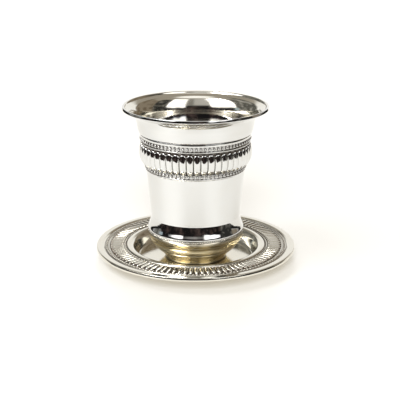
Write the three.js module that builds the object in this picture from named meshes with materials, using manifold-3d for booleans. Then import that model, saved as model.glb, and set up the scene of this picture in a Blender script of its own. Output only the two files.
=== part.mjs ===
// Kiddush cup on its saucer, in polished silver plate. Millimetres, +Z up, with the origin under the
// saucer's foot ring, on the axis that both pieces share.
//
// cup     one hollow vessel: flared mouth with a rolled lip, a belt of gadroons between two rows of
//         beading, a tapering waist, a swollen base and a spun foot that is open below
// saucer  one thin dish: flat well, rounded lip, a field of radial ribs between two beaded rings,
//         a plain border with a rounded edge, and a foot ring pressed out of the underside

import * as THREE from 'three';
import { mergeVertices } from 'three/addons/utils/BufferGeometryUtils.js';
import Module from 'manifold-3d';

const wasm = await Module();
wasm.setup();

// ---- Driving dimensions of the cup; heights are above the bottom of its foot -----------------

const CUP_HEIGHT = 82.7;
const RIM_RADIUS = 38.5;
const WALL = 1.0; // sheet thickness of the vessel
const LIP_BEAD_RADIUS = 0.85; // roll that finishes the edge of the mouth

const NECK_RADIUS = 30.9; // where the flare turns into the neck
const NECK_HEIGHT = 73.0;
const BELT_TOP = 68.2; // ledge that closes the neck
const BELT_BOTTOM = 48.4; // where the plain body starts
const BELT_ROOT_TOP = 28.2; // body radius behind the belt, at its top
const BODY_TOP_RADIUS = 26.0; // body radius just under the belt

const UPPER_BEADS = { height: 65.9, crest: 29.5, radius: 1.3 };
const LOWER_BEADS = { height: 50.7, crest: 27.1, radius: 1.1 };

const GADROON_COUNT = 49;
const GADROON_TOP = 62.9; // rounded heads
const GADROON_FULL = 58.2; // end of the fullest stretch
const GADROON_BOTTOM = 52.0; // pointed ends
const GADROON_CREST = 29.6;
const GADROON_TIP_RADIUS = 27.2;
const GADROON_DEPTH = 1.1; // from the crest of a lobe to the valley beside it

const WAIST_RADIUS = 23.8;
const WAIST_HEIGHT = 23.0;
const BULGE_RADIUS = 25.8;
const BULGE_HEIGHT = 16.6;
const BOWL_BOTTOM = 6.0; // underside of the vessel, where the foot joins it
const FOOT_RADIUS = 16.5;
const FOOT_FLARE = { lowest: 18.6, ring: 21.3, top: 22.1 }; // radii up the flared foot

// ---- Driving dimensions of the saucer; heights are above the table ---------------------------

const SAUCER_RADIUS = 53.6;
const SHEET = 1.0; // sheet thickness of the dish
const WELL_FLOOR = 2.2; // upper face of the well
const WELL_RADIUS = 29.8; // flat part of the well
const LIP_INNER_RADIUS = 33.2; // top of the well's wall
const LIP_TOP = 9.4;
const RIBS_INNER_RADIUS = 38.9;
const RIBS_OUTER_RADIUS = 46.6;
const RIB_COUNT = 97;
const RIB_BASE = 8.95; // dish level under the ribs
const RIB_RISE = 0.5;
const OUTER_BEADS = { at: 47.9, top: 9.5, reach: 0.7 };
const INNER_BEADS = { at: 38.0, top: 9.4, reach: 0.6 };
const GROOVE_RADIUS = 49.2;
const BORDER_TOP = 9.45;
const EDGE_DEPTH = 1.9; // height of the outer edge, which is turned down
const FOOT_RING = { inner: 26.8, outer: 29.4, height: 1.2 };

const SEAT_GAP = 0.3; // clearance between the foot of the cup and the well it stands in

// ---- Fineness of the facets ------------------------------------------------------------------

const CUP_SEGMENTS = 40;
const SAUCER_SEGMENTS = 44;
const STEPS_PER_GADROON = 4;
const STEPS_PER_RIB = 2;

// ---- Outlines --------------------------------------------------------------------------------
// An outline is a list of Vector2(radius, height) points, joined from stretches.

const at = (radius, height) => new THREE.Vector2(radius, height);

/** Points of a circular arc around (radius, height), from one angle to another, in degrees. */
function arc(radius, height, size, fromDegrees, toDegrees, steps) {
  const from = THREE.MathUtils.degToRad(fromDegrees);
  const to = THREE.MathUtils.degToRad(toDegrees);
  return new THREE.EllipseCurve(radius, height, size, size, from, to, to < from).getPoints(steps);
}

/** Points of a smooth curve through the given points. */
function sweep(points, steps) {
  return new THREE.SplineCurve(points).getPoints(steps);
}

/** Joins stretches into one outline and drops points that fall on the one before. */
function outline(...stretches) {
  const apart = 0.02;
  return stretches.flat().filter((point, i, all) => i === 0 || point.distanceTo(all[i - 1]) > apart);
}

// ---- Solids ----------------------------------------------------------------------------------

/** Turns a closed three.js geometry into a manifold solid. */
function solid(geometry) {
  const bare = geometry.clone();
  bare.deleteAttribute('normal');
  bare.deleteAttribute('uv');
  const merged = mergeVertices(bare, 1e-4);
  const corners = merged.index.array;
  const triangles = [];
  for (let i = 0; i < corners.length; i += 3) {
    const [a, b, c] = corners.slice(i, i + 3);
    if (a !== b && b !== c && c !== a) triangles.push(a, b, c);
  }
  return new wasm.Manifold(new wasm.Mesh({
    numProp: 3,
    vertProperties: new Float32Array(merged.attributes.position.array),
    triVerts: new Uint32Array(triangles),
  }));
}

/** Turns a manifold solid back into a three.js geometry. */
function geometryOf(body) {
  const mesh = body.getMesh();
  const geometry = new THREE.BufferGeometry();
  geometry.setAttribute('position', new THREE.BufferAttribute(mesh.vertProperties, mesh.numProp));
  geometry.setIndex(new THREE.BufferAttribute(mesh.triVerts, 1));
  geometry.computeVertexNormals();
  return geometry;
}

/** Revolves an outline about the Z axis. The outline runs down the outside of the piece. */
function turned(points, segments) {
  return new THREE.LatheGeometry(points.toReversed(), segments).rotateX(Math.PI / 2);
}

/** Moves each vertex of a turned geometry to shape(radius, height, angle), a [radius, height] pair. */
function carve(geometry, shape) {
  const position = geometry.attributes.position;
  for (let i = 0; i < position.count; i += 1) {
    const angle = Math.atan2(position.getY(i), position.getX(i));
    const radius = Math.hypot(position.getX(i), position.getY(i));
    const [newRadius, newHeight] = shape(radius, position.getZ(i), angle);
    position.setXYZ(i, newRadius * Math.cos(angle), newRadius * Math.sin(angle), newHeight);
  }
  return geometry;
}

/** Rounded lobes round a ring: 1 on each crest and 0 in each valley. */
function lobe(angle, count) {
  return Math.abs(Math.cos((angle * count) / 2)) ** 0.6;
}

// ---- Cup -------------------------------------------------------------------------------------

/** Inside of the vessel, from the axis on its floor up to the rolled lip. */
function cupInside() {
  const floor = BOWL_BOTTOM + WALL;
  return outline(
    [at(0, floor), at(18.0, floor)],
    sweep([at(18.0, floor), at(22.6, 9.4), at(BULGE_RADIUS - WALL, BULGE_HEIGHT),
      at(23.6, 20.2), at(WAIST_RADIUS - WALL, WAIST_HEIGHT + 0.6)], 5),
    [at(24.1, 37.0), at(25.1, 50.0)],
    sweep([at(26.9, 62.0), at(28.8, 70.6), at(31.2, 77.6), at(34.2, 80.6), at(36.9, 82.0)], 4),
  );
}

/** Outside of the vessel, from the rolled lip down to the waist. */
function cupWall() {
  const lipHeight = CUP_HEIGHT - LIP_BEAD_RADIUS;
  const lipRadius = RIM_RADIUS - LIP_BEAD_RADIUS;
  const ledge = at(UPPER_BEADS.crest - 0.6, BELT_TOP);
  return outline(
    arc(lipRadius, lipHeight, LIP_BEAD_RADIUS, 90, -90, 4),
    sweep([at(36.6, 80.5), at(33.4, 78.8), at(31.4, 75.8), at(NECK_RADIUS, NECK_HEIGHT)], 4),
    [at(29.7, BELT_TOP + 0.4), ledge],
    arc(UPPER_BEADS.crest - UPPER_BEADS.radius, UPPER_BEADS.height, UPPER_BEADS.radius, 60, -60, 2),
    [at(BELT_ROOT_TOP, GADROON_TOP), at(GADROON_TIP_RADIUS - 0.9, GADROON_BOTTOM)],
    arc(LOWER_BEADS.crest - LOWER_BEADS.radius, LOWER_BEADS.height, LOWER_BEADS.radius, 60, -60, 2),
    [at(BODY_TOP_RADIUS, BELT_BOTTOM)],
    sweep([at(BODY_TOP_RADIUS - 0.1, BELT_BOTTOM - 3), at(25.1, 36.7), at(24.5, 31.1),
      at(WAIST_RADIUS, WAIST_HEIGHT)], 3),
  );
}

/** Swollen base of the vessel and the moulded foot under it, down to the ground. */
function cupBase() {
  return outline(
    sweep([at(WAIST_RADIUS, WAIST_HEIGHT - 0.1), at(25.0, 20.0), at(BULGE_RADIUS, BULGE_HEIGHT),
      at(25.5, 13.2), at(24.7, 10.7), at(23.4, 8.6)], 7),
    [at(FOOT_FLARE.top, 6.7), at(FOOT_FLARE.ring, 6.1)],
    [at(FOOT_FLARE.lowest, 3.5), at(FOOT_RADIUS + 0.2, 1.3), at(FOOT_RADIUS, 0)],
  );
}

/** Hollow of the foot, from the ground up to the underside of the vessel. */
function cupFootHollow() {
  return [at(FOOT_RADIUS - 1.2, 0), at(FOOT_RADIUS - 1.0, 1.6), at(FOOT_FLARE.lowest - 1.6, 4.0),
    at(0, BOWL_BOTTOM - 0.6)];
}

/** Belt of gadroons: lobes with round heads that narrow downwards, on a ring behind them. */
function gadroons() {
  const sunk = WALL / 2; // the ring's inside face lies in the middle of the wall
  const ring = [
    at(BELT_ROOT_TOP - sunk, GADROON_TOP),
    at(BELT_ROOT_TOP + 0.2, GADROON_TOP),
    at(GADROON_CREST - 0.1, GADROON_TOP - 1.0),
    at(GADROON_CREST, GADROON_FULL),
    at(28.7, 55.0),
    at(GADROON_TIP_RADIUS - 0.1, GADROON_BOTTOM),
    at(GADROON_TIP_RADIUS - 0.9 - sunk, GADROON_BOTTOM),
    at(BELT_ROOT_TOP - sunk, GADROON_TOP),
  ];
  const belt = turned(ring, GADROON_COUNT * STEPS_PER_GADROON);
  return carve(belt, (radius, height, angle) => {
    const atEnd = height > GADROON_TOP - 0.1 || height < GADROON_BOTTOM + 0.1;
    const depth = atEnd ? 0 : GADROON_DEPTH;
    return [radius - depth * (1 - lobe(angle, GADROON_COUNT)), height];
  });
}

/** The whole cup as one solid. */
function cupGeometry() {
  const vessel = turned(outline(cupInside(), cupWall(), cupBase(), cupFootHollow()), CUP_SEGMENTS);
  return geometryOf(solid(vessel).add(solid(gadroons())));
}

// ---- Saucer ----------------------------------------------------------------------------------

/** Low ridge that carries a ring of small beads. */
function ridge({ at: radius, top, reach }) {
  return [at(radius - reach, RIB_BASE), at(radius, top), at(radius + reach, RIB_BASE)];
}

/** Upper face of the dish, from the axis to its outer edge. */
function saucerTop() {
  return outline(
    [at(0, WELL_FLOOR), at(WELL_RADIUS, WELL_FLOOR)],
    sweep([at(WELL_RADIUS + 0.8, WELL_FLOOR + 0.6), at(LIP_INNER_RADIUS - 0.4, LIP_TOP - 1.5),
      at(LIP_INNER_RADIUS + 1.0, LIP_TOP - 0.2), at(INNER_BEADS.at - 1.2, LIP_TOP)], 4),
    ridge(INNER_BEADS),
    ridge(OUTER_BEADS),
    [at(GROOVE_RADIUS, RIB_BASE - 0.1), at(GROOVE_RADIUS + 0.8, BORDER_TOP - 0.2)],
    [at(SAUCER_RADIUS - 0.6, BORDER_TOP), at(SAUCER_RADIUS - 0.2, BORDER_TOP - 0.4)],
    [at(SAUCER_RADIUS, BORDER_TOP - EDGE_DEPTH + 0.3), at(SAUCER_RADIUS - 0.5, BORDER_TOP - EDGE_DEPTH)],
  );
}

/** Underside of the dish, from its outer edge back to the axis, over the foot ring. */
function saucerUnderside() {
  const under = RIB_BASE - SHEET;
  return outline(
    [at(INNER_BEADS.at, under - 0.1), at(LIP_INNER_RADIUS + 1.4, LIP_TOP - 1.6 * SHEET),
      at(WELL_RADIUS + 1.6, FOOT_RING.height)],
    [at(FOOT_RING.outer, 0), at(FOOT_RING.inner, 0), at(FOOT_RING.inner - 0.8, FOOT_RING.height),
      at(0, FOOT_RING.height)],
  );
}

/** Field of radial ribs, each a low ray between the two beaded rings. */
function ribs() {
  const sunk = RIB_BASE - SHEET / 2;
  const top = RIB_BASE + RIB_RISE;
  const field = [
    at(RIBS_INNER_RADIUS, sunk),
    at(RIBS_INNER_RADIUS + 0.6, top),
    at(RIBS_OUTER_RADIUS - 0.6, top),
    at(RIBS_OUTER_RADIUS, sunk),
    at(RIBS_INNER_RADIUS, sunk),
  ];
  return carve(turned(field, RIB_COUNT * STEPS_PER_RIB), (radius, height, angle) => {
    const raised = height > RIB_BASE + 0.1;
    return [radius, raised ? height - (RIB_RISE - 0.05) * (1 - lobe(angle, RIB_COUNT)) : height];
  });
}

/** The whole saucer as one solid. */
function saucerGeometry() {
  const dish = turned(outline(saucerTop(), saucerUnderside()), SAUCER_SEGMENTS);
  return geometryOf(solid(dish).add(solid(ribs())));
}

// ---- Assembly --------------------------------------------------------------------------------

const silverPlate = new THREE.MeshStandardMaterial({ color: 0xe9e6dd, metalness: 1.0, roughness: 0.08 });
const silverPlateSaucer = new THREE.MeshStandardMaterial({ color: 0xe4dfd2, metalness: 1.0, roughness: 0.1 });

const cup = new THREE.Mesh(cupGeometry(), silverPlate);
cup.name = 'cup';
cup.position.z = WELL_FLOOR + SEAT_GAP;

const saucer = new THREE.Mesh(saucerGeometry(), silverPlateSaucer);
saucer.name = 'saucer';

const kiddushCup = new THREE.Group();
kiddushCup.add(saucer, cup);

export default kiddushCup;
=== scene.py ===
"""Kiddush cup on its saucer: the visual model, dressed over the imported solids.

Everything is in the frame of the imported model: metres, +Z up, with the axis of both pieces on Z.
The classes hold their sizes in millimetres and turn them to metres when they make a mesh.
"""

import logging
from dataclasses import dataclass
from enum import Enum
from math import cos, hypot, pi, radians, sin

import bpy
import numpy as np
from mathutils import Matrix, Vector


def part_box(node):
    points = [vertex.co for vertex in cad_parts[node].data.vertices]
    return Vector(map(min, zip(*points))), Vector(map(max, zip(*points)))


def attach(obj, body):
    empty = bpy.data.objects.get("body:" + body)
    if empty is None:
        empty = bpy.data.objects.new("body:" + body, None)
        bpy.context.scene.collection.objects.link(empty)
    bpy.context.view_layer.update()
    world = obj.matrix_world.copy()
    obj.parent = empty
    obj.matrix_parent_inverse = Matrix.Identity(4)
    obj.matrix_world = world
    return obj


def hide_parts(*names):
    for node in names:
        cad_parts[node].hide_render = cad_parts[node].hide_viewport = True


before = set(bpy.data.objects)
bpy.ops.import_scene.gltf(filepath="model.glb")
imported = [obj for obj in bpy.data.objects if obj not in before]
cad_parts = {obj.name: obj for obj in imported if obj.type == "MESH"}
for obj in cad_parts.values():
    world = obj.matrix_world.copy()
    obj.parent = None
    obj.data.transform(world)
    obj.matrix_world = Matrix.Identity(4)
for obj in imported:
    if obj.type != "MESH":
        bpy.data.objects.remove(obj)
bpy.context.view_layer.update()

logging.basicConfig(level=logging.INFO, format="%(message)s")
LOG = logging.getLogger("kiddush_cup")

MM = 0.001
Point = tuple[float, float]  # radius and height
Span = tuple[float, float]
Triple = tuple[float, float, float]
Piece = bpy.types.Object
Socket = bpy.types.NodeSocket
Tree = bpy.types.NodeTree


# ---- Colour and nodes ---------------------------


def linear(hex_colour: str) -> tuple[float, float, float, float]:
    """Turns an sRGB hex colour to linear RGBA.

    Args:
        hex_colour: six hex digits, with or without a leading #.

    Returns:
        Linear red, green, blue and an alpha of 1.
    """
    digits = hex_colour.lstrip("#")
    channels = [int(digits[i : i + 2], 16) / 255 for i in (0, 2, 4)]
    red, green, blue = (c / 12.92 if c <= 0.04045 else ((c + 0.055) / 1.055) ** 2.4 for c in channels)
    return red, green, blue, 1.0


def add_node(tree: Tree, kind: str, inputs: dict, **settings: object) -> bpy.types.Node:
    """Adds a node with its settings and links.

    Args:
        tree: the node tree that takes the node.
        kind: the node's type name.
        inputs: a value or an output socket for each input, by name or index.
        **settings: properties of the node.

    Returns:
        The new node.
    """
    node = tree.nodes.new(kind)
    for key, value in settings.items():
        setattr(node, key, value)
    for key, value in inputs.items():
        if isinstance(value, Socket):
            tree.links.new(value, node.inputs[key])
        else:
            node.inputs[key].default_value = value
    return node


def bare_material(name: str) -> tuple[bpy.types.Material, Tree]:
    """Makes a material without nodes.

    Args:
        name: name of the material.

    Returns:
        The material and its empty node tree.
    """
    material = bpy.data.materials.new(name)
    material.use_nodes = True
    material.node_tree.nodes.clear()
    return material, material.node_tree


# ---- Outlines -----------------------------------


def curve(points: list[Point], step: float) -> list[Point]:
    """Smooth curve through points, with slopes that don't overshoot.

    Args:
        points: the points that the curve passes through.
        step: largest distance between two points of the result.

    Returns:
        The points of the curve.
    """
    knots = np.array(points)
    gaps = np.sqrt(np.linalg.norm(np.diff(knots, axis=0), axis=1))
    times = np.concatenate([[0.0], np.cumsum(gaps)])
    slopes = np.gradient(knots, times, axis=0, edge_order=2 if len(points) > 2 else 1)
    result = [tuple(knots[0])]
    for i, gap in enumerate(gaps):
        length = gap**2
        count = max(1, int(np.ceil(length / step)))
        for t in np.linspace(0, 1, count + 1)[1:]:
            low, high = (1 - t) ** 2 * (1 + 2 * t), t**2 * (3 - 2 * t)
            leave, reach = t * (1 - t) ** 2 * gap, t**2 * (t - 1) * gap
            spot = low * knots[i] + high * knots[i + 1] + leave * slopes[i] + reach * slopes[i + 1]
            result.append((float(spot[0]), float(spot[1])))
    return result


def rounded(points: list[Point], radius: float, steps: int = 3) -> list[Point]:
    """Rounds the inner corners of a broken line.

    Args:
        points: corners of the line; its two ends stay where they are.
        radius: distance from each corner at which the rounding starts.
        steps: stretches in each rounded corner.

    Returns:
        The points of the rounded line.
    """
    largest_share = 0.45  # of a stretch that one of its corners may take
    line = [np.array(p) for p in points]
    result = [line[0]]
    for before, corner, after in zip(line, line[1:], line[2:]):
        length_in, length_out = np.linalg.norm(before - corner), np.linalg.norm(after - corner)
        start = corner + (before - corner) / length_in * min(radius, length_in * largest_share)
        end = corner + (after - corner) / length_out * min(radius, length_out * largest_share)
        for t in np.linspace(0, 1, steps + 1):
            result.append((1 - t) ** 2 * start + 2 * t * (1 - t) * corner + t**2 * end)
    result.append(line[-1])
    return [(float(p[0]), float(p[1])) for p in result]


def joined(*stretches: list[Point]) -> list[Point]:
    """Joins stretches into one outline, without points that fall on the one before.

    Args:
        *stretches: the stretches, in order.

    Returns:
        The points of the outline.
    """
    apart = 0.01
    result: list[Point] = []
    for point in (p for stretch in stretches for p in stretch):
        if not result or hypot(point[0] - result[-1][0], point[1] - result[-1][1]) > apart:
            result.append(point)
    return result


def smooth(value: np.ndarray) -> np.ndarray:
    """Eases 0..1 with level ends."""
    clipped = np.clip(value, 0, 1)
    return clipped * clipped * (3 - 2 * clipped)


def round_end(past: np.ndarray, reach: float) -> np.ndarray:
    """Quarter-round: 1 up to where an end starts, 0 at its tip, from the distance past its start."""
    return np.sqrt(np.clip(1 - (np.maximum(past, 0) / reach) ** 2, 0, 1))


def tarnish_along(recesses: tuple[Triple, ...], places: np.ndarray, fade: float) -> np.ndarray:
    """Tarnish that stays in the recesses of an outline.

    Args:
        recesses: the place, half-width and depth of tarnish of each recess.
        places: where each point lies, measured as the recesses' places are.
        fade: how many half-widths from the middle of a recess its tarnish ends.

    Returns:
        0..1 for each point.
    """
    patina_and_painted_shade = np.zeros(len(places))
    for place, half_width, depth in recesses:
        patina_and_painted_shade = np.maximum(patina_and_painted_shade, depth * smooth(fade - np.abs(places - place) / half_width))
    return patina_and_painted_shade


@dataclass(frozen=True)
class StrawFilm:
    """Straw-coloured film that builds up low on the cup and in the well, where cloths seldom reach."""

    foot_reach: float = 27.0  # radius that the cup's base stays within
    foot_bottom: float = 2.45  # just under the cup and just over the well
    foot_top: float = 18.5  # where the film ends on the cup's outside
    foot_fade: float = 5.0
    well: float = 0.6  # strength in the well
    well_edge: float = 24.0
    well_fade: float = 7.0
    rings: float = 0.32  # strength on the rings and ribs of the saucer
    rings_top: float = 12.0
    bowl: float = 0.3  # strength inside the bowl
    bowl_bottom: float = 19.0
    bowl_fade: float = 4.0
    middle_of_wall: tuple[Point, ...] = (
        (25.5, 23.3), (39.5, 24.6), (52.5, 25.6), (64.5, 27.4), (73.1, 29.3), (80.1, 31.9), (84.6, 37.4)
    )  # height over the table and radius

    def on(self, points: np.ndarray) -> np.ndarray:
        """Strength of the film.

        Args:
            points: places in millimetres.

        Returns:
            0..1 for each place.
        """
        radius = np.hypot(points[:, 0], points[:, 1])
        height = points[:, 2]
        on_cup, in_reach = height > self.foot_bottom, radius < self.foot_reach
        low_on_cup = smooth((self.foot_top - height) / self.foot_fade) * in_reach * on_cup
        in_well = self.well * smooth((self.well_edge - radius) / self.well_fade) * ~on_cup
        on_rings = self.rings * (radius > self.foot_reach) * (height < self.rings_top)
        inside = radius < np.interp(height, *zip(*self.middle_of_wall))
        within_cup = self.bowl * inside * smooth((height - self.bowl_bottom) / self.bowl_fade)
        return low_on_cup + in_well + on_rings + within_cup


# ---- Meshes -------------------------------------


class Shell:
    """Vertices, faces and patina of a piece while it is being made, in millimetres."""

    def __init__(self) -> None:
        """Starts an empty shell."""
        self.vertices: list[np.ndarray] = []
        self.patina_and_painted_shade: list[np.ndarray] = []
        self.faces: list[list[int]] = []
        self.count = 0

    def add(self, points: np.ndarray, patina_and_painted_shade: np.ndarray) -> int:
        """Adds vertices.

        Args:
            points: an array of any shape that ends in 3.
            patina_and_painted_shade: 0..1 for each point.

        Returns:
            The index of the first new vertex.
        """
        first = self.count
        flat = points.reshape(-1, 3)
        self.vertices.append(flat)
        self.patina_and_painted_shade.append(np.broadcast_to(patina_and_painted_shade, points.shape[:-1]).reshape(-1))
        self.count += len(flat)
        return first

    def add_ring_grid(self, points: np.ndarray, patina_and_painted_shade: np.ndarray, closed: bool) -> None:
        """Adds rows of points that each close on themselves, joined into a surface.

        Args:
            points: array of rows, columns and 3; the rows run down the outside.
            patina_and_painted_shade: 0..1 for each point.
            closed: True where the last row joins the first.
        """
        rows, columns = points.shape[:2]
        first = self.add(points, patina_and_painted_shade)
        row_pairs = [(i, (i + 1) % rows) for i in range(rows if closed else rows - 1)]
        for upper, lower in row_pairs:
            above, below = first + upper * columns, first + lower * columns
            for j in range(columns):
                k = (j + 1) % columns
                self.faces.append([above + j, below + j, below + k, above + k])

    def add_pole(self, point: np.ndarray, patina_and_painted_shade: float, ring: int, columns: int, at_start: bool) -> None:
        """Closes a surface at a pole with a fan of triangles.

        Args:
            point: the pole.
            patina_and_painted_shade: 0..1 there.
            ring: index of the first vertex of the ring beside the pole.
            columns: vertices in that ring.
            at_start: True where the surface starts at this pole.
        """
        pole = self.add(point.reshape(1, 3), np.array([patina_and_painted_shade]))
        for j in range(columns):
            pair = [ring + j, ring + (j + 1) % columns]
            self.faces.append([pole, *pair] if at_start else [pole, *reversed(pair)])

    def build(self, name: str) -> Piece:
        """Makes the Blender object.

        Args:
            name: name of the object and its mesh.

        Returns:
            The object, linked to the scene.
        """
        mesh = bpy.data.meshes.new(name)
        mesh.from_pydata((np.concatenate(self.vertices) * MM).tolist(), [], self.faces)
        mesh.update()
        mesh.polygons.foreach_set("use_smooth", [True] * len(mesh.polygons))
        points = np.concatenate(self.vertices)
        layers = {"patina_and_painted_shade": np.concatenate(self.patina_and_painted_shade), "yellowing": StrawFilm().on(points)}
        for layer, values in layers.items():
            attribute = mesh.attributes.new(layer, "FLOAT", "POINT")
            attribute.data.foreach_set("value", values.astype(np.float32))
        piece = bpy.data.objects.new(name, mesh)
        bpy.context.scene.collection.objects.link(piece)
        return piece


def around(radius: np.ndarray, height: np.ndarray, angle: np.ndarray) -> np.ndarray:
    """Points from cylindrical coordinates.

    Args:
        radius: distances from the axis.
        height: heights.
        angle: angles in radians.

    Returns:
        An array that ends in x, y, z.
    """
    parts = np.broadcast_arrays(radius * np.cos(angle), radius * np.sin(angle), height)
    return np.stack(parts, axis=-1)


def revolved(name: str, outline: list[Point], patina_and_painted_shade: np.ndarray, columns: int) -> Piece:
    """Revolves an outline that starts and ends on the axis.

    Args:
        name: name of the piece.
        outline: (radius, height) points that run down the outside.
        patina_and_painted_shade: 0..1 for each point.
        columns: vertices round the axis.

    Returns:
        The piece.
    """
    profile = np.array(outline)
    shell = Shell()
    angle = np.linspace(0, 2 * pi, columns, endpoint=False)
    inner = profile[1:-1]
    grid = around(inner[:, :1], inner[:, 1:], angle[None, :])
    shell.add_ring_grid(grid, np.repeat(patina_and_painted_shade[1:-1, None], columns, axis=1), closed=False)
    top = np.array([0.0, 0.0, profile[0, 1]])
    bottom = np.array([0.0, 0.0, profile[-1, 1]])
    shell.add_pole(top, float(patina_and_painted_shade[0]), 0, columns, at_start=True)
    shell.add_pole(bottom, float(patina_and_painted_shade[-1]), (len(inner) - 1) * columns, columns, at_start=False)
    return shell.build(name)


# ---- Finishes -----------------------------------


@dataclass(frozen=True)
class SilverPlate:
    """Silver electroplated on spun or pressed brass, then buffed to a mirror on a turning mop.

    The plate gives near-perfect reflections with a warm cast. Buffing leaves hair-fine lines that run
    round the axis and soften highlights sideways. Polish never reaches the recesses, so a brown tarnish
    stays there, which the mesh states as its patina. The same brown is also painted shade on the tops
    of the gadroon heads, towards the outer ends of the saucer's ribs and along the foot's bottom edge.
    """

    name: str
    silver: str = "#E4E4E2"
    warm_silver: str = "#E2DFD8"
    gilded: str = "#F3E7C6"
    tarnish_and_painted_shade: str = "#47382A"
    roughness: float = 0.045
    smudged_roughness: float = 0.11
    film_roughness: float = 0.24
    tarnish_roughness: float = 0.35
    buffing_pitch: float = 0.35  # real lines are near 0.02 mm; drawn coarser so that they show
    buffing_depth: float = 0.0006
    buffing_stretch: float = 2.0  # a line's pattern moves on by this much for each radian
    smudge_size: float = 14.0
    speck_size: float = 1.2

    def material(self) -> bpy.types.Material:
        """Builds the material.

        Returns:
            The material, which reads the mesh's patina, with the painted shade laid in it, and its
            yellowing.
        """
        material, tree = bare_material(self.name)
        place = add_node(tree, "ShaderNodeTexCoord", {}).outputs["Object"]
        patina_and_painted_shade = add_node(tree, "ShaderNodeAttribute", {}, attribute_name="patina_and_painted_shade").outputs["Fac"]
        film = add_node(tree, "ShaderNodeAttribute", {}, attribute_name="yellowing").outputs["Fac"]
        cloudy = {"Vector": place, "Scale": 1 / (self.smudge_size * MM), "Detail": 4.0, "Roughness": 0.6}
        smudges = add_node(tree, "ShaderNodeTexNoise", cloudy).outputs["Fac"]
        fine = {"Vector": place, "Scale": 1 / (self.speck_size * MM), "Detail": 2.0}
        specks = add_node(tree, "ShaderNodeTexNoise", fine).outputs["Fac"]
        speckled = {"Value": specks, "From Min": 0.3, "From Max": 0.7, "To Min": 0.75, "To Max": 1.1}
        uneven = add_node(tree, "ShaderNodeMapRange", speckled).outputs[0]
        # brown tarnish of the recesses, and painted shade on the gadroon heads' tops, the ribs' outer ends
        # and the foot's bottom edge
        tarnish_and_painted_shade_share = add_node(
            tree, "ShaderNodeMath", {0: patina_and_painted_shade, 1: uneven}, operation="MULTIPLY", use_clamp=True
        ).outputs[0]
        straw = (film, self.gilded, self.film_roughness)
        brown = (tarnish_and_painted_shade_share, self.tarnish_and_painted_shade, self.tarnish_roughness)
        colour, gloss = self._layers(tree, smudges, (straw, brown))
        normal = self._buffing(tree, place)
        inputs = {"Base Color": colour, "Metallic": 1.0, "Roughness": gloss, "Normal": normal}
        shader = add_node(tree, "ShaderNodeBsdfPrincipled", inputs)
        add_node(tree, "ShaderNodeOutputMaterial", {"Surface": shader.outputs[0]})
        return material

    def _layers(
        self, tree: Tree, smudges: Socket, films: tuple[tuple[Socket, str, float], ...]
    ) -> tuple[Socket, Socket]:
        """Lays smudges and then each film over the polished silver.

        Args:
            tree: the node tree.
            smudges: cloudy pattern of finger marks.
            films: strength, colour and roughness of each film, the lowest first.

        Returns:
            The colour and the roughness.
        """
        seen = {"From Min": 0.45, "From Max": 0.8, "To Min": 0.0, "To Max": 0.5}
        warmth = add_node(tree, "ShaderNodeMapRange", {"Value": smudges, **seen}).outputs[0]
        warmed = {0: warmth, 6: linear(self.silver), 7: linear(self.warm_silver)}
        colour = add_node(tree, "ShaderNodeMix", warmed, data_type="RGBA").outputs[2]
        dulled = {"Value": smudges, "From Min": 0.42, "From Max": 0.75}
        dulled |= {"To Min": self.roughness, "To Max": self.smudged_roughness}
        gloss = add_node(tree, "ShaderNodeMapRange", dulled).outputs[0]
        for share, tint, dull in films:
            tinted = {0: share, 6: colour, 7: linear(tint)}
            colour = add_node(tree, "ShaderNodeMix", tinted, data_type="RGBA").outputs[2]
            blurred = {0: share, 2: gloss, 3: dull}
            gloss = add_node(tree, "ShaderNodeMix", blurred, data_type="FLOAT").outputs[0]
        return colour, gloss

    def _buffing(self, tree: Tree, place: Socket) -> Socket:
        """Draws the hair-fine lines of the mop, stretched round the axis.

        Args:
            tree: the node tree.
            place: place on the object, in metres.

        Returns:
            The normal.
        """
        axes = add_node(tree, "ShaderNodeSeparateXYZ", {0: place}).outputs
        flat = add_node(tree, "ShaderNodeCombineXYZ", {0: axes[0], 1: axes[1]}).outputs[0]
        radius = add_node(tree, "ShaderNodeVectorMath", {0: flat}, operation="LENGTH").outputs["Value"]
        angle = add_node(tree, "ShaderNodeMath", {0: axes[1], 1: axes[0]}, operation="ARCTAN2").outputs[0]
        drawn_out = add_node(
            tree, "ShaderNodeMath", {0: angle, 1: self.buffing_stretch * MM}, operation="MULTIPLY"
        ).outputs[0]
        turned = add_node(tree, "ShaderNodeCombineXYZ", {0: radius, 1: axes[2], 2: drawn_out}).outputs[0]
        noise = {"Vector": turned, "Scale": 1 / (self.buffing_pitch * MM), "Detail": 3.0}
        lines = add_node(tree, "ShaderNodeTexNoise", noise).outputs["Fac"]
        relief = {"Strength": 1.0, "Distance": self.buffing_depth * MM, "Height": lines}
        return add_node(tree, "ShaderNodeBump", relief).outputs[0]


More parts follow.
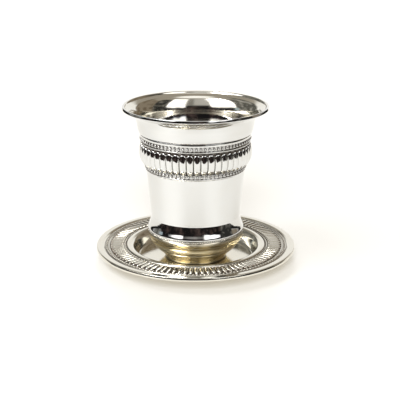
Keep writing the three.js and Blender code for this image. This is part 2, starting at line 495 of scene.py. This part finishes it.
@dataclass(frozen=True)
class OpalAcrylic:
    """Satin opal acrylic with a painted glow, stronger far behind the cup.

    Its even white glow is painted light, as no lamp lights the floor: it keeps shadows pale and soft and
    runs on into the white of the background.
    """

    name: str = "satin opal acrylic, painted glow"
    white: str = "#888A8D"
    # painted light: the floor's own glow lifts its shadows near the cup and keeps it white far behind the
    # cup
    painted_glow_colour: str = "#FFF4DC"
    painted_glow: float = 0.40
    painted_far_glow: float = 0.64
    near: float = 0.1  # distance behind the cup where the glow starts to grow, in metres
    far: float = 1.2  # distance behind the cup where the glow is at its strongest, in metres
    grain_size: float = 0.8
    grain_depth: float = 0.02
    roughness: float = 0.45

    def material(self) -> bpy.types.Material:
        """Builds the material.

        Returns:
            The material.
        """
        material, tree = bare_material(self.name)
        place = add_node(tree, "ShaderNodeTexCoord", {}).outputs["Object"]
        satin = {"Vector": place, "Scale": 1 / (self.grain_size * MM), "Detail": 2.0}
        grain = add_node(tree, "ShaderNodeTexNoise", satin).outputs["Fac"]
        relief = add_node(
            tree, "ShaderNodeBump", {"Strength": 0.2, "Distance": self.grain_depth * MM, "Height": grain}
        ).outputs[0]
        # painted glow, growing with distance behind the cup
        behind = add_node(tree, "ShaderNodeSeparateXYZ", {0: place}).outputs[1]
        reach = {"From Min": self.near, "From Max": self.far, "To Min": self.painted_glow, "To Max": self.painted_far_glow}
        painted_glow = add_node(tree, "ShaderNodeMapRange", {"Value": behind, **reach}).outputs[0]
        inputs = {"Base Color": linear(self.white), "Roughness": self.roughness, "Normal": relief}
        inputs |= {"Emission Color": linear(self.painted_glow_colour), "Emission Strength": painted_glow}
        shader = add_node(tree, "ShaderNodeBsdfPrincipled", inputs)
        add_node(tree, "ShaderNodeOutputMaterial", {"Surface": shader.outputs[0]})
        return material


# ---- Dressing -----------------------------------


class Slot(Enum):
    """The material slots of the set."""

    CUP = "cup_silver"
    SAUCER = "saucer_silver"


def dressed(piece: Piece, finish: SilverPlate) -> Piece:
    """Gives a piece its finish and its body.

    Args:
        piece: the piece.
        finish: its finish.

    Returns:
        The same piece.
    """
    piece.data.materials.append(finish.material())
    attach(piece, "root")
    return piece


# ---- Beading ------------------------------------


class Facing(Enum):
    """The way that the beads of a row stand out."""

    OUTWARD = "outward"
    UPWARD = "upward"


@dataclass
class BeadRow:
    """A row of small cast beads round the axis, each a low dome with its foot sunk in the sheet."""

    name: str
    count: int
    radius: float  # of the row's seat
    height: float
    half_width: float  # round the row
    half_depth: float  # across the row
    rise: float
    facing: Facing
    finish: SilverPlate
    slot: Slot
    sunk: float = 0.2
    underside: float = 0.2  # depth of a bead's hidden half, as a share of its dome
    crown: float = 0.8  # share of the dome's height over which the top is polished clean
    crown_fade: float = 0.25
    segments: int = 14
    rings: int = 8

    def build(self) -> Piece:
        """Makes the row as one piece.

        Returns:
            The row.
        """
        polar = np.linspace(0, pi, self.rings + 1)[1:-1, None]
        turn = np.linspace(0, 2 * pi, self.segments, endpoint=False)[None, :]
        up = np.cos(polar) + 0 * turn
        lowered = np.where(up > 0, up, self.underside * up)
        dome = np.stack([lowered, np.sin(polar) * np.cos(turn), np.sin(polar) * np.sin(turn)], axis=-1)
        patina_and_painted_shade = smooth((self.crown - up) / self.crown_fade)
        shell = Shell()
        for i in range(self.count):
            seat, axes = self._place(2 * pi * (i + 0.5) / self.count)
            first = shell.count
            shell.add_ring_grid(seat + dome @ axes, patina_and_painted_shade, closed=False)
            last = first + (len(polar) - 1) * self.segments
            shell.add_pole(seat + axes[0], 0.0, first, self.segments, at_start=True)
            shell.add_pole(seat - self.underside * axes[0], 1.0, last, self.segments, at_start=False)
        return dressed(shell.build(self.name), self.finish)

    def _place(self, angle: float) -> tuple[np.ndarray, np.ndarray]:
        """Works out where a bead sits.

        Args:
            angle: its angle round the axis, in radians.

        Returns:
            Its middle, and its half-axes as rows: the way it faces, round the row and across it.
        """
        outward = np.array([cos(angle), sin(angle), 0.0])
        along = np.array([-sin(angle), cos(angle), 0.0])
        vertical = np.array([0.0, 0.0, 1.0])
        facing, third = (outward, vertical) if self.facing is Facing.OUTWARD else (vertical, -outward)
        seat = outward * self.radius + vertical * self.height - facing * self.sunk
        return seat, np.array(
            [facing * (self.rise + self.sunk), along * self.half_width, third * self.half_depth]
        )


# ---- Cup ----------------------------------------


@dataclass
class CupVessel:
    """The spun vessel with its foot; heights are above the bottom of the foot."""

    base: float  # height of the foot's bottom over the table
    finish: SilverPlate
    height: float = 82.7
    rim_radius: float = 38.5
    wall: float = 1.0
    waist_radius: float = 23.8
    waist_height: float = 23.0
    bulge_radius: float = 25.8
    bulge_height: float = 16.4
    bowl_bottom: float = 6.0
    foot_radius: float = 16.5
    columns: int = 224
    recesses: tuple[Triple, ...] = (
        (68.75, 0.15, 0.85), (65.8, 0.95, 0.55), (63.4, 0.45, 1.0), (58.0, 5.0, 1.0), (50.75, 0.75, 0.5),
        # the last entry on the next line is painted contact shade along the foot's bottom edge, where it
        # stands in the well
        (11.6, 0.22, 0.6), (6.5, 0.22, 0.9), (0.3, 0.4, 0.7)
    )  # height, half-height and depth of tarnish of each recess of the outside
    recess_fade: float = 1.5
    roof_points: int = 6  # last points of the outline, on the roof of the foot's hollow
    roof_tarnish: float = 0.5

    def inside(self) -> list[Point]:
        """Outline of the inside, from the axis up to the lip.

        Returns:
            Its (radius, height) points.
        """
        floor = self.bowl_bottom + self.wall
        return joined(
            [(0.0, floor), (6.0, floor), (12.0, floor + 0.05)],
            curve([
                (17.0, floor + 0.3), (21.3, floor + 1.3), (23.9, 10.9),
                (self.bulge_radius - self.wall, self.bulge_height), (23.9, 20.0),
                (self.waist_radius - self.wall, self.waist_height + 0.5),
            ], 0.5),
            curve([(22.85, 24.0), (24.1, 37.0), (25.1, 49.0), (26.5, 60.0), (28.0, 66.0)], 0.8),
            curve([
                (28.3, 67.1), (29.35, 70.5), (29.85, 72.8), (30.2, 74.5), (30.55, 75.7), (30.9, 76.65),
                (31.3, 77.5), (31.75, 78.25), (32.25, 78.95), (32.75, 79.55), (33.35, 80.1),
                (34.05, 80.6), (35.1, 81.05), (36.4, 81.5),
            ], 0.2),
        )

    def lip(self) -> list[Point]:
        """Outline of the rolled lip.

        Returns:
            Its (radius, height) points.
        """
        top, edge = self.height, self.rim_radius
        return rounded([
            (36.4, 81.5), (36.75, 81.8), (37.05, top - 0.25), (37.6, top), (edge - 0.4, top - 0.05),
            (edge - 0.3, top - 0.3), (edge, top - 1.35), (edge - 0.35, top - 1.7), (37.0, 80.85),
        ], 0.3, steps=5)

    def neck(self) -> list[Point]:
        """Outline of the flare and the neck, down to the belt.

        Returns:
            Its (radius, height) points.
        """
        return curve([
            (37.0, 80.85), (36.2, 80.55), (35.2, 80.0), (33.4, 78.8), (31.95, 77.0), (31.2, 75.1),
            (30.8, 72.9), (30.35, 70.6), (29.75, 69.0),
        ], 0.25)

    def belt(self) -> list[Point]:
        """Outline of the ribbons and channels that hold the beads and the gadroons.

        Returns:
            Its (radius, height) points.
        """
        return rounded([
            (29.75, 69.0), (29.0, 68.75), (29.3, 68.4), (29.35, 67.1), (28.6, 66.85), (28.45, 64.75),
            (29.15, 64.5), (29.15, 63.9), (28.3, 63.5), (28.1, 62.6), (27.9, 58.0), (26.3, 52.1),
            (26.9, 51.8), (26.85, 51.55), (26.25, 51.45), (26.1, 49.75), (26.55, 49.55), (26.5, 49.05),
            (26.15, 48.8), (26.05, 47.6),
        ], 0.16)

    def body(self) -> list[Point]:
        """Outline of the plain body, from the belt down to the crease above the bulge.

        Returns:
            Its (radius, height) points.
        """
        return curve([
            (26.05, 47.6), (25.3, 39.5), (24.6, 32.0), (24.1, 26.5),
            (self.waist_radius, self.waist_height + 0.25),
        ], 0.8)

    def bulge(self) -> list[Point]:
        """Outline of the swollen base, from the crease down to the foot.

        Returns:
            Its (radius, height) points.
        """
        return curve([
            (self.waist_radius + 0.05, self.waist_height), (24.06, 22.0), (24.29, 21.0), (24.55, 20.0),
            (24.88, 19.0), (25.29, 18.0), (25.62, 17.2), (25.76, 16.75),
            (self.bulge_radius, self.bulge_height), (25.78, 15.8), (25.68, 14.8), (25.45, 13.4),
            (25.2, 12.2),
        ], 0.25)

    def foot(self) -> list[Point]:
        """Outline of the flared foot, from the bowl to the ground and up its hollow to the axis.

        Returns:
            Its (radius, height) points.
        """
        outside = rounded([
            (25.2, 12.2), (25.05, 11.75), (24.7, 11.5), (24.6, 10.9), (24.2, 9.7), (23.5, 8.5),
            (22.5, 7.2), (22.1, 6.7), (21.5, 6.45), (21.35, 5.9), (20.3, 4.95), (18.9, 3.7),
            (17.6, 2.45), (17.1, 1.5), (16.8, 1.2), (self.foot_radius, 0.7), (self.foot_radius, 0.0),
        ], 0.3, steps=4)
        hollow = rounded([
            (self.foot_radius, 0.0), (self.foot_radius - 1.2, 0.0), (self.foot_radius - 1.0, 1.6),
            (17.0, 4.0), (12.0, self.bowl_bottom - 0.6), (0.0, self.bowl_bottom - 0.6),
        ], 0.3)
        return joined(outside, hollow)

    def build(self) -> Piece:
        """Makes the vessel.

        Returns:
            The vessel, which takes the place of the solid cup.
        """
        within = self.inside()
        rest = (self.lip(), self.neck(), self.belt(), self.body(), self.bulge(), self.foot())
        outline = joined(within, *rest)
        height = np.array(outline)[:, 1]
        outside = np.arange(len(outline)) >= len(within)
        patina_and_painted_shade = tarnish_along(self.recesses, height, self.recess_fade) * outside
        patina_and_painted_shade[-self.roof_points :] = self.roof_tarnish
        raised = [(r, h + self.base) for r, h in outline]
        piece = dressed(revolved("cup_vessel", raised, patina_and_painted_shade, self.columns), self.finish)
        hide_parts("cup")
        return piece


# ---- Rings of lobes -----------------------------


def lobes(
    count: int, columns: int, width: np.ndarray, rise: np.ndarray, fullness: float = 2.0
) -> tuple[np.ndarray, np.ndarray, np.ndarray]:
    """Lays lobes side by side round a ring.

    Args:
        count: number of lobes.
        columns: points across each lobe.
        width: share of the pitch that the lobes take, for each row of points.
        rise: how far the lobes stand out, for each row.
        fullness: 2 gives a round section, more gives a flatter crest with steeper flanks.

    Returns:
        For each row and column: the angle, how far the point stands out, and the share of the crest's rise.
    """
    half_pitch = pi / count
    rows = len(width)
    warped = np.sin(np.linspace(-1, 1, columns) * pi / 2)
    section = np.append((1 - np.abs(warped) ** fullness) ** (1 / fullness), 0.0)
    local = half_pitch * width[:, None] * warped[None, :]
    across = np.concatenate([local, np.full((rows, 1), half_pitch)], axis=1)
    middles = 2 * half_pitch * np.arange(count)
    angle = (middles[None, :, None] + across[:, None, :]).reshape(rows, -1)
    return angle, np.tile(rise[:, None] * section, (1, count)), np.tile(section, (rows, count))


def backed(
    name: str, front: np.ndarray, patina_and_painted_shade: np.ndarray, angle: np.ndarray, back: tuple[Point, Point]
) -> Piece:
    """Closes a ring of lobes behind its front face.

    Args:
        name: name of the piece.
        front: points of the front face, by row and column.
        patina_and_painted_shade: 0..1 for each of them.
        angle: angle of each of them.
        back: (radius, height) of the two back edges, beside the first row and beside the last row.

    Returns:
        The piece.
    """
    first, last = (
        around(np.full((1, 1), edge[0]), np.full((1, 1), edge[1]), row)
        for edge, row in zip(back, (angle[:1], angle[-1:]))
    )
    dull = np.ones((1, angle.shape[1]))
    shell = Shell()
    shell.add_ring_grid(
        np.concatenate([first, front, last]), np.concatenate([dull, patina_and_painted_shade, dull]), closed=True
    )
    return shell.build(name)


@dataclass
class GadroonBelt:
    """Belt of gadroons with round heads that narrow downwards; heights are above the cup's foot."""

    base: float
    finish: SilverPlate
    count: int = 49
    top: float = 63.1
    fullest: float = 57.7
    bottom: float = 51.8
    head_centre: float = 61.24  # centre of the round heads
    head_radius: float = 1.86
    tip_centre: float = 54.2  # where the lower ends start to round off
    tip_reach: float = 2.4
    seat_radius: float = 28.18
    seat_bottom_radius: float = 26.35
    crest_rise: float = 1.5
    upper_fall: float = 0.75
    end_round: float = 0.6
    lower_fall: float = 2.4
    fall_power: float = 2.2  # with which the crest bends away from its fullest height
    lean_top: float = 58.7  # where the sheet behind the gadroons starts to lean in
    lean_power: float = 1.5
    fill: float = 0.97  # share of the pitch that a gadroon takes
    fullness: float = 2.7
    valley: float = 0.4  # share of the rise up to which the valleys are tarnished
    tip_fade: float = 1.2  # how far under the tips and over them the tarnish thins out
    painted_head_shade: float = 0.55  # painted shade over the tops of the heads, in place of the bright reflections that they would show
    painted_head_shade_fade: float = 0.35
    back: float = 0.5
    columns_each: int = 20
    rows: int = 46

    def _crest(self, height: np.ndarray) -> np.ndarray:
        """Works out the crest of the gadroons.

        Args:
            height: heights.

        Returns:
            The radius of the crest at each height.
        """
        above = np.clip((height - self.fullest) / (self.top - self.fullest), 0, 1)
        below = np.clip((self.fullest - height) / (self.fullest - self.bottom), 0, 1)
        blunt = round_end(height - self.top + self.end_round, self.end_round)
        upper = self.seat_radius + (self.crest_rise - self.upper_fall * above**self.fall_power) * blunt
        return np.where(height >= self.fullest, upper, upper - self.lower_fall * below**self.fall_power)

    def _seat(self, height: np.ndarray) -> np.ndarray:
        """Radius of the sheet between the gadroons at a height."""
        share = np.clip((self.lean_top - height) / (self.lean_top - self.bottom), 0, 1)
        return self.seat_radius + (self.seat_bottom_radius - self.seat_radius) * share**self.lean_power

    def _width(self, height: np.ndarray) -> np.ndarray:
        """Share of the pitch that a gadroon takes at a height."""
        head = round_end(height - self.head_centre, self.head_radius)
        return self.fill * head * round_end(self.tip_centre - height, self.tip_reach)

    def build(self) -> Piece:
        """Makes the belt as one closed ring.

        Returns:
            The belt.
        """
        spread = 0.5 - 0.5 * np.cos(np.linspace(0, pi, self.rows))
        height = self.top - (self.top - self.bottom) * spread
        crest, seat, width = self._crest(height), self._seat(height), self._width(height)
        rise = np.maximum(crest - seat, 0)
        angle, proud, depth = lobes(self.count, self.columns_each, width, rise, self.fullness)
        front = around(seat[:, None] + proud, height[:, None] + self.base, angle)
        over_tip = smooth((height - self.bottom + self.tip_fade) / (2 * self.tip_fade))
        # painted shade on the tops of the heads, laid in with the tarnish of the valleys
        painted_head_shade_share = smooth((height - self.top + self.painted_head_shade) / self.painted_head_shade_fade)
        in_valley = smooth((self.valley - depth) / self.valley) * over_tip[:, None]
        patina_and_painted_shade = np.maximum(in_valley, painted_head_shade_share[:, None])
        back = (
            (self.seat_radius - self.back, self.top + self.base),
            (self.seat_bottom_radius - self.back, self.bottom + self.base),
        )
        return dressed(backed("gadroon_belt", front, patina_and_painted_shade, angle, back), self.finish)


# ---- Saucer -------------------------------------


@dataclass
class SaucerDish:
    """The pressed dish of the saucer; heights are above the table."""

    finish: SilverPlate
    radius: float = 53.6
    well_floor: float = 2.2
    lip_top: float = 9.4
    field_level: float = 8.95
    border_top: float = 9.45
    edge_depth: float = 1.9
    foot_inner: float = 26.8
    foot_outer: float = 29.4
    foot_height: float = 1.2
    columns: int = 256
    recesses: tuple[Triple, ...] = (
        (37.8, 0.5, 0.9), (42.6, 3.6, 1.0), (47.9, 0.8, 0.6), (49.1, 0.2, 1.0)
    )  # radius, half-width and depth of tarnish of each recess of the upper face
    recess_fade: float = 1.3

    def upper(self) -> list[Point]:
        """Outline of the upper face, from the axis to the outer edge.

        Returns:
            Its (radius, height) points.
        """
        well = rounded([
            (29.0, self.well_floor), (31.0, self.well_floor), (31.9, 4.2), (32.9, 7.2), (33.8, 8.9),
            (35.2, self.lip_top + 0.05), (36.6, self.lip_top), (37.2, 9.25), (37.5, 8.8),
            (38.2, self.field_level - 0.1), (38.8, self.field_level),
        ], 0.7, steps=5)
        rings = rounded([
            (38.8, self.field_level), (46.5, self.field_level), (46.8, self.field_level - 0.15),
            (47.1, 9.15), (47.5, 9.15), (48.7, 9.1), (48.9, self.field_level - 0.1),
            (49.3, self.field_level - 0.1), (49.8, 9.25), (50.4, self.border_top),
            (52.0, self.border_top + 0.02),
        ], 0.15)
        foot = self.border_top - self.edge_depth
        edge = rounded([
            (52.0, self.border_top + 0.02), (self.radius - 0.75, self.border_top),
            (self.radius - 0.26, self.border_top - 0.15), (self.radius, foot + 0.95),
            (self.radius - 0.07, foot + 0.2), (self.radius - 0.5, foot),
        ], 0.12, steps=4)
        floor = [(radius, self.well_floor) for radius in (0.0, 10.0, 20.0)]
        return joined(floor, well, rings, edge)

    def under(self) -> list[Point]:
        """Outline of the underside, from the outer edge back to the axis, over the foot ring.

        Returns:
            Its (radius, height) points.
        """
        return rounded([
            (self.radius - 0.5, self.border_top - self.edge_depth), (52.0, 7.7), (44.0, 7.98),
            (38.0, 7.85), (34.6, 7.8), (33.2, 6.0), (31.4, self.foot_height), (self.foot_outer, 0.0),
            (self.foot_inner, 0.0), (self.foot_inner - 0.8, self.foot_height), (0.0, self.foot_height),
        ], 0.25)

    def build(self) -> Piece:
        """Makes the dish.

        Returns:
            The dish, which takes the place of the solid saucer.
        """
        above = self.upper()
        outline = joined(above, self.under())
        radius = np.array(outline)[:, 0]
        facing_up = np.arange(len(outline)) < len(above)
        patina_and_painted_shade = tarnish_along(self.recesses, radius, self.recess_fade) * facing_up
        piece = dressed(revolved("saucer_dish", outline, patina_and_painted_shade, self.columns), self.finish)
        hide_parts("saucer")
        return piece


@dataclass
class SaucerRibs:
    """Field of radial ribs: tongues with round ends between the two rings of the saucer."""

    finish: SilverPlate
    count: int = 97
    inner: float = 38.7
    outer: float = 46.5
    level: float = 8.95
    rise: float = 0.75
    end_reach: float = 1.5  # length over which a rib's end rounds off
    fill: float = 0.84
    proud: float = 0.02  # clearance of the ring's flat parts over the dish
    valley: float = 0.62  # share of the rise up to which the valleys are tarnished
    painted_end_shade: float = 0.25  # painted shade added to the valleys' tarnish towards the outer ends of the ribs
    painted_end_shade_reach: float = 2.4
    painted_end_shade_fade: float = 1.6
    valley_fade: float = 0.3
    back: float = 0.5
    columns_each: int = 13
    rows: int = 26

    def build(self) -> Piece:
        """Makes the ribs as one closed ring.

        Returns:
            The ribs.
        """
        spread = 0.5 - 0.5 * np.cos(np.linspace(0, pi, self.rows))
        radius = self.inner + (self.outer - self.inner) * spread
        from_end = np.minimum(radius - self.inner, self.outer - radius)
        end = round_end(self.end_reach - from_end, self.end_reach)
        angle, above, depth = lobes(self.count, self.columns_each, self.fill * end, self.rise * end)
        front = around(radius[:, None], self.level + self.proud + above, angle)
        # the valleys hold tarnish; towards the outer ends of the ribs, painted shade is added to it
        painted_end_shade_share = smooth((radius - self.outer + self.painted_end_shade_reach) / self.painted_end_shade_fade)[:, None]
        patina_and_painted_shade = smooth((self.valley + self.painted_end_shade * painted_end_shade_share - depth) / self.valley_fade)
        back = ((self.inner, self.level - self.back), (self.outer, self.level - self.back))
        return dressed(backed("saucer_ribs", front, patina_and_painted_shade, angle, back), self.finish)


# ---- Studio -------------------------------------


@dataclass(frozen=True)
class Patch:
    """A patch of the surroundings, by where it lies as seen from the cup, in degrees.

    Azimuth 0 is the front and 90 the right side; elevation is above the horizon.
    """

    azimuth: Span
    elevation: Span
    colour: Triple
    edge: float = 3.0
    ragged: float = 0.0  # how far its outline wanders, in degrees
    mottled: Triple | None = None  # second colour, in cloudy spots


ALL_ROUND = (-400.0, 400.0)

SURROUNDINGS = (
    # walls and ceiling, then the lit ceiling overhead
    Patch(ALL_ROUND, (26.0, 100.0), (0.36, 0.33, 0.28), edge=6.0),
    Patch(ALL_ROUND, (74.0, 100.0), (1.2, 1.2, 1.2), edge=10.0),
    # furniture at the back left and the back right
    Patch((-158.0, -92.0), (3.0, 57.0), (0.1, 0.1, 0.09), edge=6.0, ragged=3.0, mottled=(0.45, 0.44, 0.41)),
    Patch((92.0, 152.0), (3.0, 52.0), (0.26, 0.22, 0.17), edge=5.0, ragged=2.0, mottled=(0.12, 0.09, 0.06)),
    # wall between the windows, and its shaded part
    Patch((-34.0, 22.0), (26.0, 66.0), (0.50, 0.49, 0.47), edge=6.0),
    Patch((4.0, 20.0), (26.0, 64.0), (0.24, 0.23, 0.21), edge=6.0),
    # dark room below the table's edge, beside the right window and in front
    Patch((-156.0, 152.0), (-95.0, 3.0), (0.012, 0.011, 0.011), edge=3.0),
    Patch((60.0, 98.0), (-90.0, 58.0), (0.03, 0.03, 0.027), edge=4.0, mottled=(0.2, 0.19, 0.17)),
    Patch((-94.0, 64.0), (-95.0, 26.0), (0.01, 0.009, 0.009), edge=5.0, mottled=(0.075, 0.052, 0.046)),
    # left and right window, and a glint of sky
    Patch((-92.0, -32.0), (20.5, 66.0), (2.4, 2.4, 2.4), edge=5.0, ragged=2.0),
    Patch((21.0, 62.0), (19.0, 63.0), (1.9, 1.9, 1.9), edge=5.0, ragged=2.0),
    Patch((-98.0, -88.0), (10.0, 19.0), (0.42, 0.50, 0.54), edge=3.0, ragged=2.0),
)


@dataclass(frozen=True)
class Softbox:
    """A softbox round the cup; azimuth 0 is in front and grows to the right."""

    name: str
    azimuth: float  # in degrees
    elevation: float  # in degrees
    power: float  # in watts
    mirrored: bool  # whether the silver shows its reflection


@dataclass
class Studio:
    """Floor, lights and camera."""

    table_half_width: float = 0.42
    table_front: float = -0.37
    table_back: float = 3.0
    softbox_size: float = 0.9
    softbox_distance: float = 2.5
    softboxes: tuple[Softbox, ...] = (
        Softbox("key", -62.0, 54.0, 32.0, mirrored=True),
        Softbox("front fill", -3.0, 32.0, 158.0, mirrored=False),
        Softbox("background", 180.0, 55.0, 38.0, mirrored=False),
    )
    camera_place: Triple = (0.00234, -0.5089, 0.1936)
    camera_pitch: float = 17.49
    lens: float = 89.48
    sensor: float = 36.0
    backdrop: Triple = (1.0, 0.995, 0.98)
    cloud_scale: float = 4.0
    cloud_threshold: float = 0.56
    cloud_edge: float = 0.2
    wander_gain: float = 4.0  # the noise swings by about a quarter, so this makes its swing a whole one

    def build(self) -> None:
        """Makes the floor, the world, the softboxes and the camera."""
        self._floor()
        self._world()
        for softbox in self.softboxes:
            self._softbox(softbox)
        self._camera()
        view = bpy.context.scene.view_settings
        view.view_transform = "Standard"
        view.look = "None"

    def _floor(self) -> None:
        """Makes the pale table that serves as the floor."""
        half = self.table_half_width
        mesh = bpy.data.meshes.new("floor")
        corners = [
            (-half, self.table_front, 0), (half, self.table_front, 0), (half, self.table_back, 0),
            (-half, self.table_back, 0),
        ]
        mesh.from_pydata(corners, [], [[0, 1, 2, 3]])
        floor = bpy.data.objects.new("floor", mesh)
        bpy.context.scene.collection.objects.link(floor)
        floor.data.materials.append(OpalAcrylic().material())

    def _softbox(self, softbox: Softbox) -> None:
        """Hangs a square softbox so that it faces the cup.

        Args:
            softbox: the softbox.
        """
        azimuth, elevation = radians(softbox.azimuth), radians(softbox.elevation)
        data = bpy.data.lights.new(softbox.name, "AREA")
        data.shape = "SQUARE"
        data.size = self.softbox_size
        data.energy = softbox.power
        lamp = bpy.data.objects.new(softbox.name, data)
        flat = self.softbox_distance * cos(elevation)
        lamp.location = (flat * sin(azimuth), -flat * cos(azimuth), self.softbox_distance * sin(elevation))
        lamp.rotation_euler = (pi / 2 - elevation, 0.0, azimuth)
        lamp.visible_glossy = softbox.mirrored
        bpy.context.scene.collection.objects.link(lamp)

    def _camera(self) -> None:
        """Makes the camera."""
        data = bpy.data.cameras.new("camera")
        data.sensor_width = self.sensor
        data.lens = self.lens
        camera = bpy.data.objects.new("camera", data)
        camera.location = self.camera_place
        camera.rotation_euler = (radians(90 - self.camera_pitch), 0.0, 0.0)
        bpy.context.scene.collection.objects.link(camera)
        bpy.context.scene.camera = camera

    def _world(self) -> None:
        """Makes the surroundings: a pale backdrop with each patch laid over what is behind it."""
        world = bpy.data.worlds.new("studio")
        world.use_nodes = True
        bpy.context.scene.world = world
        tree = world.node_tree
        tree.nodes.clear()
        way = add_node(tree, "ShaderNodeTexCoord", {}).outputs["Generated"]
        bearings = self._bearings(tree, way)
        noise = {"Vector": way, "Scale": self.cloud_scale}
        clouds = add_node(tree, "ShaderNodeTexNoise", {**noise, "Detail": 3.0, "Roughness": 0.6})
        spots = self._window(tree, clouds.outputs["Fac"], (self.cloud_threshold, 2.0), self.cloud_edge)
        drift = add_node(tree, "ShaderNodeTexNoise", {**noise, "Detail": 2.0}).outputs["Color"]
        parts = add_node(tree, "ShaderNodeSeparateXYZ", {0: drift}).outputs
        wander = [
            add_node(tree, "ShaderNodeMath", {0: part, 1: 0.5}, operation="SUBTRACT").outputs[0]
            for part in (parts[0], parts[1])
        ]
        colour = (*self.backdrop, 1.0)
        for patch in SURROUNDINGS:
            tint = (*patch.colour, 1.0)
            if patch.mottled:
                clouded = {0: spots, 6: tint, 7: (*patch.mottled, 1.0)}
                tint = add_node(tree, "ShaderNodeMix", clouded, data_type="RGBA").outputs[2]
            layer = {0: self._share(tree, patch, bearings, wander), 6: colour, 7: tint}
            colour = add_node(tree, "ShaderNodeMix", layer, data_type="RGBA").outputs[2]
        seen = add_node(tree, "ShaderNodeLightPath", {}).outputs["Is Camera Ray"]
        plain = {0: seen, 6: colour, 7: (1.0, 1.0, 1.0, 1.0)}
        shown = add_node(tree, "ShaderNodeMix", plain, data_type="RGBA").outputs[2]
        light = add_node(tree, "ShaderNodeBackground", {"Color": shown, "Strength": 1.0})
        add_node(tree, "ShaderNodeOutputWorld", {"Surface": light.outputs[0]})

    def _bearings(self, tree: Tree, way: Socket) -> list[Socket]:
        """Works out azimuth and elevation.

        Args:
            tree: the node tree.
            way: the way that is looked, as a unit vector.

        Returns:
            The azimuth and the elevation, in degrees.
        """
        axes = add_node(tree, "ShaderNodeSeparateXYZ", {0: way}).outputs
        forward = add_node(tree, "ShaderNodeMath", {0: axes[1], 1: -1.0}, operation="MULTIPLY").outputs[0]
        turn = add_node(tree, "ShaderNodeMath", {0: axes[0], 1: forward}, operation="ARCTAN2").outputs[0]
        tilt = add_node(tree, "ShaderNodeMath", {0: axes[2]}, operation="ARCSINE").outputs[0]
        return [
            add_node(tree, "ShaderNodeMath", {0: value}, operation="DEGREES").outputs[0]
            for value in (turn, tilt)
        ]

    def _share(self, tree: Tree, patch: Patch, bearings: list[Socket], wander: list[Socket]) -> Socket:
        """Works out where a patch covers what is behind it.

        Args:
            tree: the node tree.
            patch: the patch.
            bearings: azimuth and elevation.
            wander: noise about 0 that makes the outline ragged, for each of them.

        Returns:
            A socket that is 1 on the patch and 0 beside it.
        """
        shares = []
        for bearing, noise, ends in zip(bearings, wander, (patch.azimuth, patch.elevation)):
            if patch.ragged:
                moved = {0: noise, 1: self.wander_gain * patch.ragged, 2: bearing}
                bearing = add_node(tree, "ShaderNodeMath", moved, operation="MULTIPLY_ADD").outputs[0]
            shares.append(self._window(tree, bearing, ends, patch.edge))
        both = dict(enumerate(shares))
        return add_node(tree, "ShaderNodeMath", both, operation="MULTIPLY").outputs[0]

    def _window(self, tree: Tree, value: Socket, ends: Span, edge: float) -> Socket:
        """Cuts a soft-edged window out of a value.

        Args:
            tree: the node tree.
            value: the value.
            ends: lower and upper end of the window, at half height.
            edge: width of the soft edges.

        Returns:
            A socket that is 1 in the window and 0 outside it.
        """
        slopes = []
        for end, first in zip(ends, (0.0, 1.0)):
            inputs = {"Value": value, "From Min": end - edge / 2, "From Max": end + edge / 2}
            inputs |= {"To Min": first, "To Max": 1 - first}
            ease = add_node(tree, "ShaderNodeMapRange", inputs, interpolation_type="SMOOTHSTEP")
            slopes.append(ease.outputs[0])
        both = dict(enumerate(slopes))
        return add_node(tree, "ShaderNodeMath", both, operation="MULTIPLY").outputs[0]


# ---- Assembly -----------------------------------


def main() -> None:
    """Builds the pieces in order and reports each."""
    cup_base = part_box("cup")[0].z / MM
    mirror = SilverPlate("buffed silver plate on spun brass, cup")
    pressed = SilverPlate("buffed silver plate on pressed brass, saucer")
    on_cup = {"facing": Facing.OUTWARD, "finish": mirror, "slot": Slot.CUP}
    on_saucer = {"facing": Facing.UPWARD, "finish": pressed, "slot": Slot.SAUCER}
    pieces = [
        CupVessel(cup_base, mirror).build(),
        GadroonBelt(cup_base, mirror).build(),
        BeadRow(
            "upper_beading", 79, radius=28.5, height=cup_base + 65.75, half_width=0.8, half_depth=0.88,
            rise=0.95, **on_cup
        ).build(),
        BeadRow(
            "lower_beading", 72, radius=26.15, height=cup_base + 50.65, half_width=0.84, half_depth=0.85,
            rise=0.9, **on_cup
        ).build(),
        SaucerDish(pressed).build(),
        SaucerRibs(pressed).build(),
        BeadRow(
            "saucer_outer_beading", 156, radius=48.0, height=9.1, half_width=0.8, half_depth=0.6,
            rise=0.4, **on_saucer
        ).build(),
        BeadRow(
            "saucer_inner_beading", 130, radius=38.05, height=8.9, half_width=0.7, half_depth=0.4,
            rise=0.35, **on_saucer
        ).build(),
    ]
    for piece in pieces:
        LOG.info("%s: %d faces", piece.name, len(piece.data.polygons))
    Studio().build()


if __name__ == "__main__":
    main()
    bpy.context.view_layer.update()
